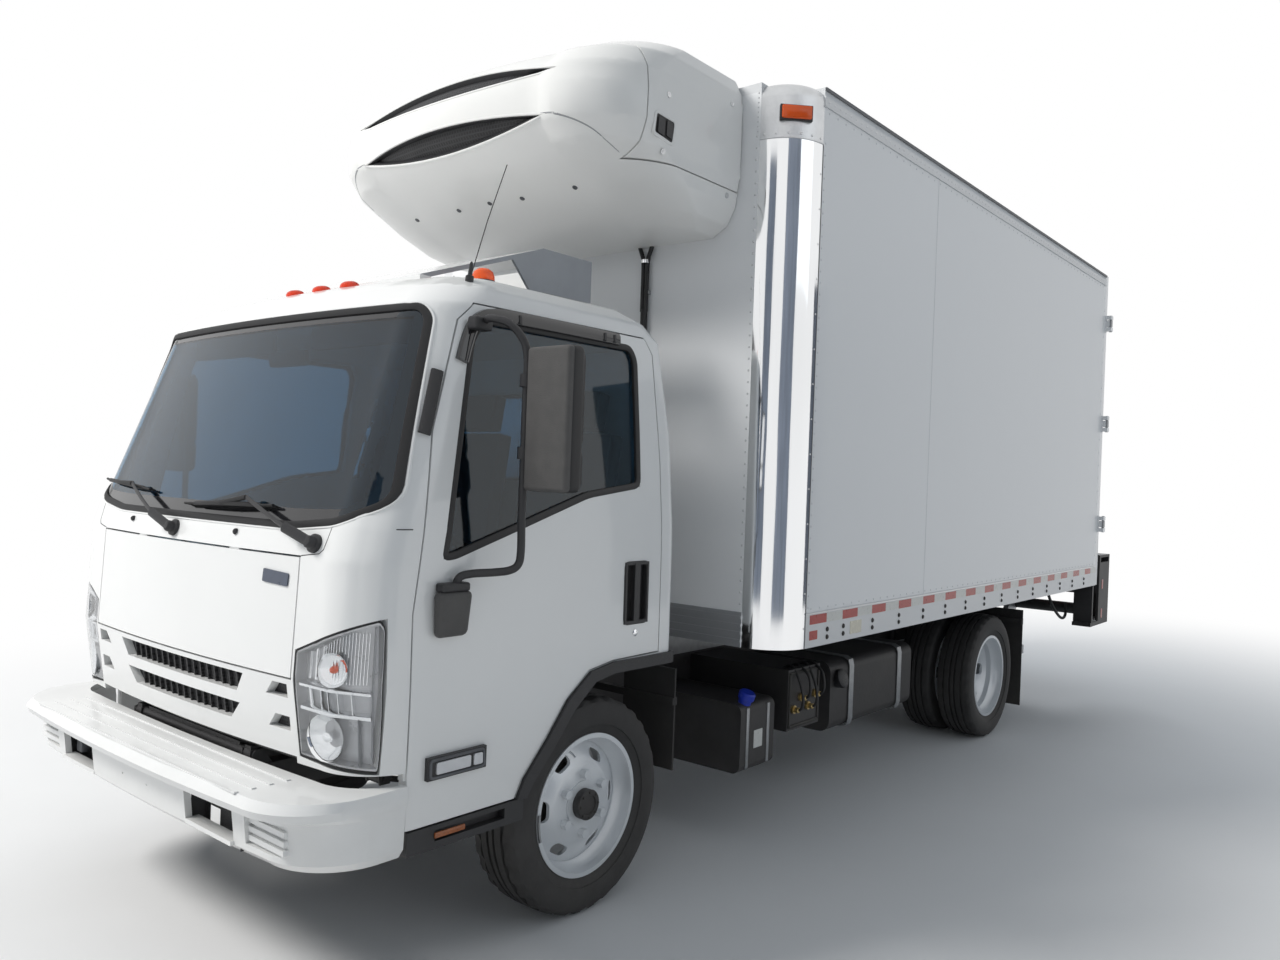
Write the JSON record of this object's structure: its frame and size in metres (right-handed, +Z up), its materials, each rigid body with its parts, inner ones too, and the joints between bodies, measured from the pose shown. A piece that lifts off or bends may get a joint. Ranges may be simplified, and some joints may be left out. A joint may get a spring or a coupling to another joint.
{
  "type": "refrigerated truck",
  "caption": "Cab-over box truck with a nose-mounted refrigeration unit, swing rear doors, a tilting cab, steered front wheels, twin rear wheels and a folded lift gate.",
  "frame": {"origin": "on the ground, in the middle of the overall length and width", "axes": "+Z up; the cab faces -Y; +X is the driver's side (left-hand drive)"},
  "size_m": [2.67, 7.475, 3.4419],
  "materials": {
    "cab_white": "gloss white paint",
    "box_white": "gloss white panel",
    "unit_white": "gloss white moulded cover",
    "polished": "polished stainless steel",
    "cast_metal": "satin cast metal",
    "frame_black": "satin black paint",
    "black_plastic": "textured black plastic",
    "grey_plastic": "grained grey plastic",
    "grille_black": "black mesh",
    "window_glass": "clear tinted glass",
    "lamp_lens": "clear lamp lens",
    "lamp_red": "red lamp lens",
    "tire_rubber": "black rubber",
    "wheel_silver": "silver wheel paint",
    "iron": "cast iron",
    "seat_cloth": "woven seat cloth",
    "deck_steel": "galvanised steel",
    "flap_rubber": "black rubber sheet"
  },
  "bodies": {
    "root": {"frame_rails": "frame_black", "front_bumper": "cab_white", "axles": "frame_black", "leaf_springs": "frame_black", "engine": "iron", "drive_shaft": "iron", "side_units": "black_plastic", "mud_flaps": "flap_rubber", "box_floor": "deck_steel", "box_front_wall": "box_white", "box_side_walls": "box_white", "box_roof": "box_white", "rear_frame": "box_white", "corner_posts": "polished", "corner_caps": "cast_metal", "unit_shell": "unit_white", "unit_core": "frame_black", "unit_grilles": "grille_black", "lift_frame": "frame_black", "lift_platform": "deck_steel", "box_lamps": "lamp_red"},
    "cab": {"cab_roof": "cab_white", "cab_back": "cab_white", "cab_front": "cab_white", "cab_sides": "cab_white", "cab_floor": "frame_black", "cab_glass": "window_glass", "grille_panel": "cab_white", "grille_mesh": "grille_black", "cab_lamps": "lamp_lens", "cab_trim": "black_plastic", "dashboard": "grey_plastic", "seats": "seat_cloth", "roof_deflector": "cab_white"},
    "lid": {"front_lid": "cab_white"},
    "left_door": {"door_left": "cab_white", "door_glass_left": "window_glass", "mirror_left": "black_plastic"},
    "right_door": {"door_right": "cab_white", "door_glass_right": "window_glass", "mirror_right": "black_plastic"},
    "left_knuckle": {"knuckle_left": "iron"},
    "right_knuckle": {"knuckle_right": "iron"},
    "track_rod": {"tie_rod": "frame_black"},
    "left_front_wheel": {"front_wheel_left": "wheel_silver", "front_tire_left": "tire_rubber"},
    "right_front_wheel": {"front_wheel_right": "wheel_silver", "front_tire_right": "tire_rubber"},
    "left_rear_wheels": {"rear_wheels_left": "wheel_silver", "rear_tires_left": "tire_rubber"},
    "right_rear_wheels": {"rear_wheels_right": "wheel_silver", "rear_tires_right": "tire_rubber"},
    "left_box_door": {"box_door_left": "box_white"},
    "right_box_door": {"box_door_right": "box_white"},
    "left_unit_door": {"unit_door_left": "unit_white"},
    "right_unit_door": {"unit_door_right": "unit_white"}
  },
  "joints": [
    {"name": "cab_tilt", "type": "hinge", "parent": "root", "child": "cab", "pos_m": [0, -3.4575, 0.69], "axis": [1, 0, 0], "range_deg": [0, 45]},
    {"name": "lid_lift", "type": "hinge", "parent": "cab", "child": "lid", "pos_m": [0, -3.5265, 1.355], "axis": [-1, 0, 0], "range_deg": [0, 70]},
    {"name": "door_left_swing", "type": "hinge", "parent": "cab", "child": "left_door", "pos_m": [1.01, -3.2995, 1.2], "axis": [0, 0, -1], "range_deg": [0, 70]},
    {"name": "door_right_swing", "type": "hinge", "parent": "cab", "child": "right_door", "pos_m": [-1.01, -3.2995, 1.2], "axis": [0, 0, 1], "range_deg": [0, 70]},
    {"name": "steer_left", "type": "hinge", "parent": "root", "child": "left_knuckle", "pos_m": [0.72, -2.4025, 0.403], "axis": [0, 0, 1], "range_deg": [-40, 40]},
    {"name": "steer_right", "type": "hinge", "parent": "root", "child": "right_knuckle", "pos_m": [-0.72, -2.4025, 0.403], "axis": [0, 0, 1], "range_deg": [-40, 40]},
    {"name": "track_rod_pivot", "type": "hinge", "parent": "left_knuckle", "child": "track_rod", "pos_m": [0.72, -2.2375, 0.279], "axis": [0, 0, 1], "range_deg": [-40, 40]},
    {"name": "wheel_front_left", "type": "hinge", "parent": "left_knuckle", "child": "left_front_wheel", "pos_m": [0.832, -2.4025, 0.403], "axis": [1, 0, 0], "continuous": true},
    {"name": "wheel_front_right", "type": "hinge", "parent": "right_knuckle", "child": "right_front_wheel", "pos_m": [-0.832, -2.4025, 0.403], "axis": [1, 0, 0], "continuous": true},
    {"name": "wheels_rear_left", "type": "hinge", "parent": "root", "child": "left_rear_wheels", "pos_m": [0.825, 1.4075, 0.403], "axis": [1, 0, 0], "continuous": true},
    {"name": "wheels_rear_right", "type": "hinge", "parent": "root", "child": "right_rear_wheels", "pos_m": [-0.825, 1.4075, 0.403], "axis": [1, 0, 0], "continuous": true},
    {"name": "box_door_left_swing", "type": "hinge", "parent": "root", "child": "left_box_door", "pos_m": [1.24, 3.2975, 2.2], "axis": [0, 0, -1], "range_deg": [0, 250]},
    {"name": "box_door_right_swing", "type": "hinge", "parent": "root", "child": "right_box_door", "pos_m": [-1.24, 3.2975, 2.2], "axis": [0, 0, 1], "range_deg": [0, 250]},
    {"name": "unit_door_left_swing", "type": "hinge", "parent": "root", "child": "left_unit_door", "pos_m": [0.938, -1.5645, 3.1], "axis": [0, 0, 1], "range_deg": [0, 90]},
    {"name": "unit_door_right_swing", "type": "hinge", "parent": "root", "child": "right_unit_door", "pos_m": [-0.938, -1.5645, 3.1], "axis": [0, 0, -1], "range_deg": [0, 90]}
  ],
  "couplings": [
    {"joint": "steer_right", "follows": "steer_left", "ratio": 1},
    {"joint": "track_rod_pivot", "follows": "steer_left", "ratio": -1}
  ]
}
